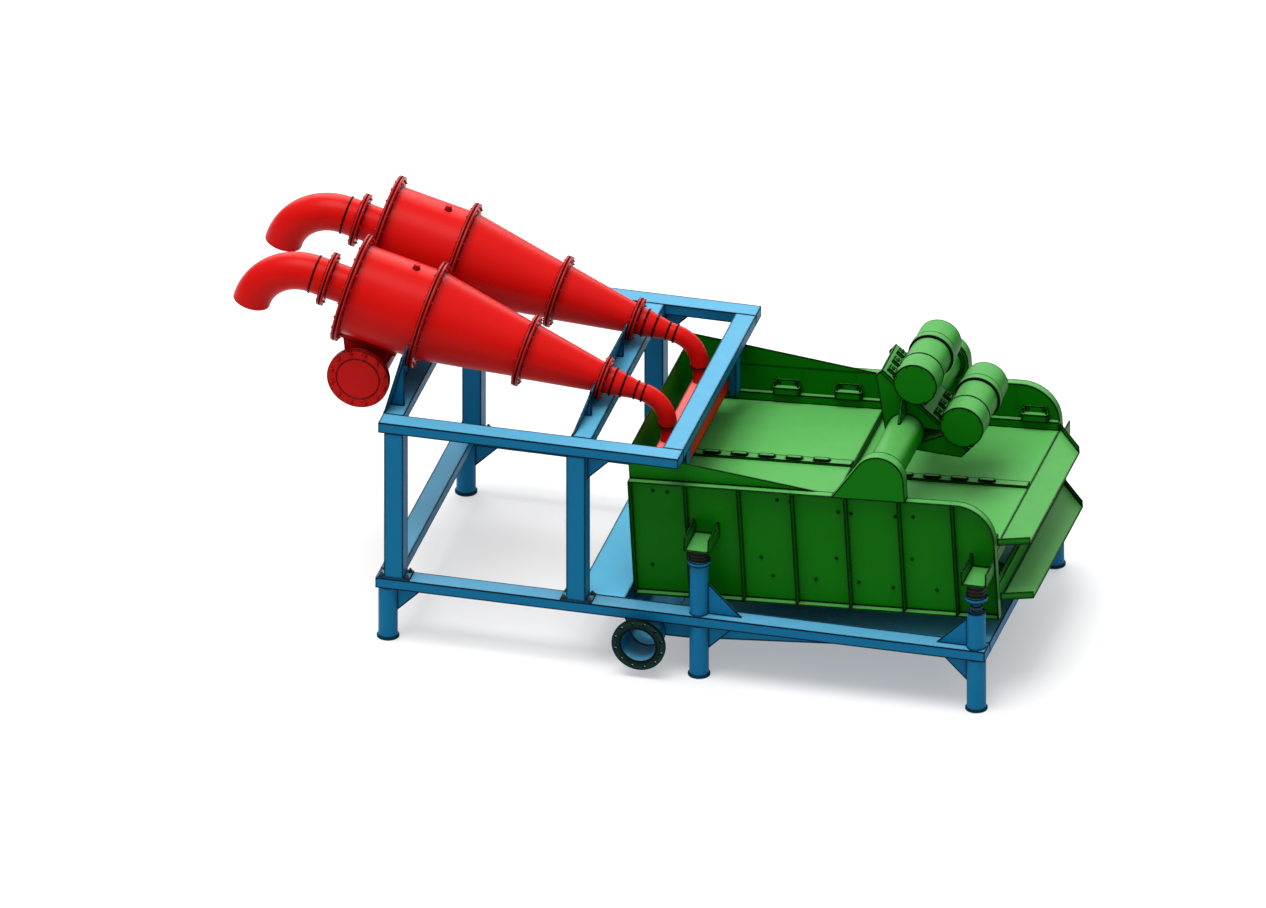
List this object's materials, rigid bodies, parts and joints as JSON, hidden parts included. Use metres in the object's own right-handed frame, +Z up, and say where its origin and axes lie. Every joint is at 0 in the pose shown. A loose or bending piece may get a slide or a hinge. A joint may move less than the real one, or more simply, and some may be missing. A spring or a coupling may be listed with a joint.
{
  "type": "dewatering vibrating screen",
  "caption": "Vibrating dewatering screen on rubber springs over a tank, fed by two inclined hydrocyclones, all on one steel base frame.",
  "frame": {"origin": "centre of the underside of the near left foot, on the ground", "axes": "+X along the machine from the feed end to the discharge end, +Y across it to the far side, +Z up"},
  "size_m": [5.9721, 2.49, 2.8166],
  "materials": {
    "back_plate": "satin green paint",
    "base_cross_beams": "satin blue paint",
    "base_rail_far": "satin blue paint",
    "base_rail_near": "satin blue paint",
    "cross_tube": "satin green paint",
    "cyclone_barrel_far": "gloss red paint",
    "cyclone_barrel_near": "gloss red paint",
    "cyclone_head_far": "gloss red paint",
    "cyclone_head_near": "gloss red paint",
    "cyclone_lower_cone_far": "gloss red paint",
    "cyclone_lower_cone_near": "gloss red paint",
    "cyclone_upper_cone_far": "gloss red paint",
    "cyclone_upper_cone_near": "gloss red paint",
    "deck_cross_members": "satin green paint",
    "deck_discharge_panel": "matt screen panel",
    "deck_feed_panel": "matt screen panel",
    "discharge_lips": "satin green paint",
    "drain_pipe": "dark coated flange",
    "feed_box": "gloss red paint",
    "feed_box_hangers": "satin blue paint",
    "feed_header": "gloss red paint",
    "hold_down_bars": "satin green paint",
    "legs_far": "satin blue paint",
    "legs_near": "satin blue paint",
    "lower_frame": "satin green paint",
    "motor_bench": "satin green paint",
    "motor_lower": "satin green paint",
    "motor_upper": "satin green paint",
    "overflow_elbow_far": "gloss red paint",
    "overflow_elbow_near": "gloss red paint",
    "posts_far": "satin blue paint",
    "posts_near": "satin blue paint",
    "rubber_springs": "matt black rubber",
    "saddle_left": "satin blue paint",
    "saddle_mid": "satin blue paint",
    "side_plate_far": "satin green paint",
    "side_plate_near": "satin green paint",
    "spring_posts_far": "satin blue paint",
    "spring_posts_near": "satin blue paint",
    "tank_shell": "satin blue paint",
    "underflow_elbow_far": "gloss red paint",
    "underflow_elbow_near": "gloss red paint",
    "upper_cross_beams": "satin blue paint",
    "upper_rail_far": "satin blue paint",
    "upper_rail_near": "satin blue paint"
  },
  "bodies": {
    "root": {"back_plate": "back_plate", "base_cross_beams": "base_cross_beams", "base_rail_far": "base_rail_far", "base_rail_near": "base_rail_near", "cross_tube": "cross_tube", "cyclone_barrel_far": "cyclone_barrel_far", "cyclone_barrel_near": "cyclone_barrel_near", "cyclone_head_far": "cyclone_head_far", "cyclone_head_near": "cyclone_head_near", "cyclone_lower_cone_far": "cyclone_lower_cone_far", "cyclone_lower_cone_near": "cyclone_lower_cone_near", "cyclone_upper_cone_far": "cyclone_upper_cone_far", "cyclone_upper_cone_near": "cyclone_upper_cone_near", "deck_cross_members": "deck_cross_members", "deck_discharge_panel": "deck_discharge_panel", "deck_feed_panel": "deck_feed_panel", "discharge_lips": "discharge_lips", "drain_pipe": "drain_pipe", "feed_box": "feed_box", "feed_box_hangers": "feed_box_hangers", "feed_header": "feed_header", "hold_down_bars": "hold_down_bars", "legs_far": "legs_far", "legs_near": "legs_near", "lower_frame": "lower_frame", "motor_bench": "motor_bench", "motor_lower": "motor_lower", "motor_upper": "motor_upper", "overflow_elbow_far": "overflow_elbow_far", "overflow_elbow_near": "overflow_elbow_near", "posts_far": "posts_far", "posts_near": "posts_near", "rubber_springs": "rubber_springs", "saddle_left": "saddle_left", "saddle_mid": "saddle_mid", "side_plate_far": "side_plate_far", "side_plate_near": "side_plate_near", "spring_posts_far": "spring_posts_far", "spring_posts_near": "spring_posts_near", "tank_shell": "tank_shell", "underflow_elbow_far": "underflow_elbow_far", "underflow_elbow_near": "underflow_elbow_near", "upper_cross_beams": "upper_cross_beams", "upper_rail_far": "upper_rail_far", "upper_rail_near": "upper_rail_near"}
  },
  "joints": []
}
